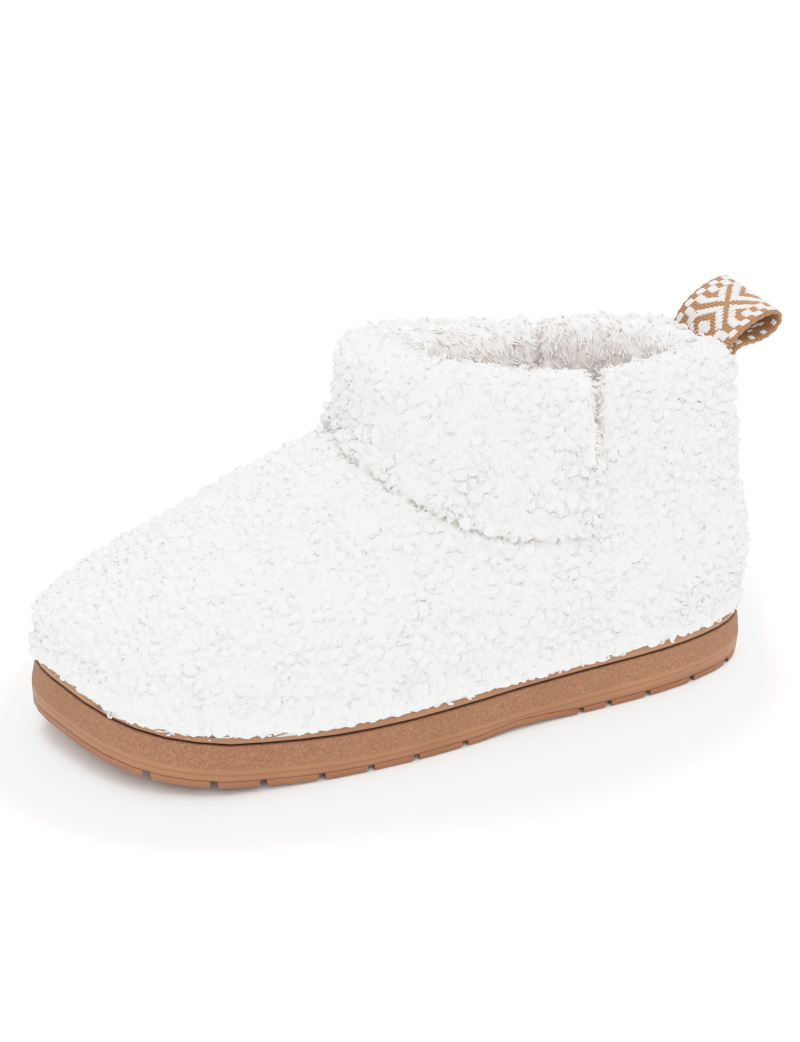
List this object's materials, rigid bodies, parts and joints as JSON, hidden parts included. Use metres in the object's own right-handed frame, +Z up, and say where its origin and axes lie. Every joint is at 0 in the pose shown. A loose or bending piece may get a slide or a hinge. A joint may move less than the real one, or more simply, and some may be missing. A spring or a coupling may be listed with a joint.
{
  "type": "bootie slipper",
  "caption": "Plush bootie slipper with a padded front cuff, notched collar, woven pull loop and moulded lugged sole.",
  "frame": {"origin": "the spot on the floor under the middle of the heel, on the sole's flat heel rest", "axes": "+X from heel to toe, +Y to the outer side of the foot, +Z up; the sole rests on the plane z = 0"},
  "size_m": [0.2776, 0.103, 0.1443],
  "materials": {
    "sole_rubber": "matt, finely pebbled",
    "welt_rubber": "satin",
    "boucle_fleece": "curly boucle pile",
    "plush_lining": "short plush pile",
    "woven_tape": "woven, two colours"
  },
  "bodies": {
    "root": {"outsole": "sole_rubber", "welt": "welt_rubber", "upper": "boucle_fleece", "cuff": "boucle_fleece", "insole": "plush_lining", "pull_loop": "woven_tape"}
  },
  "joints": []
}
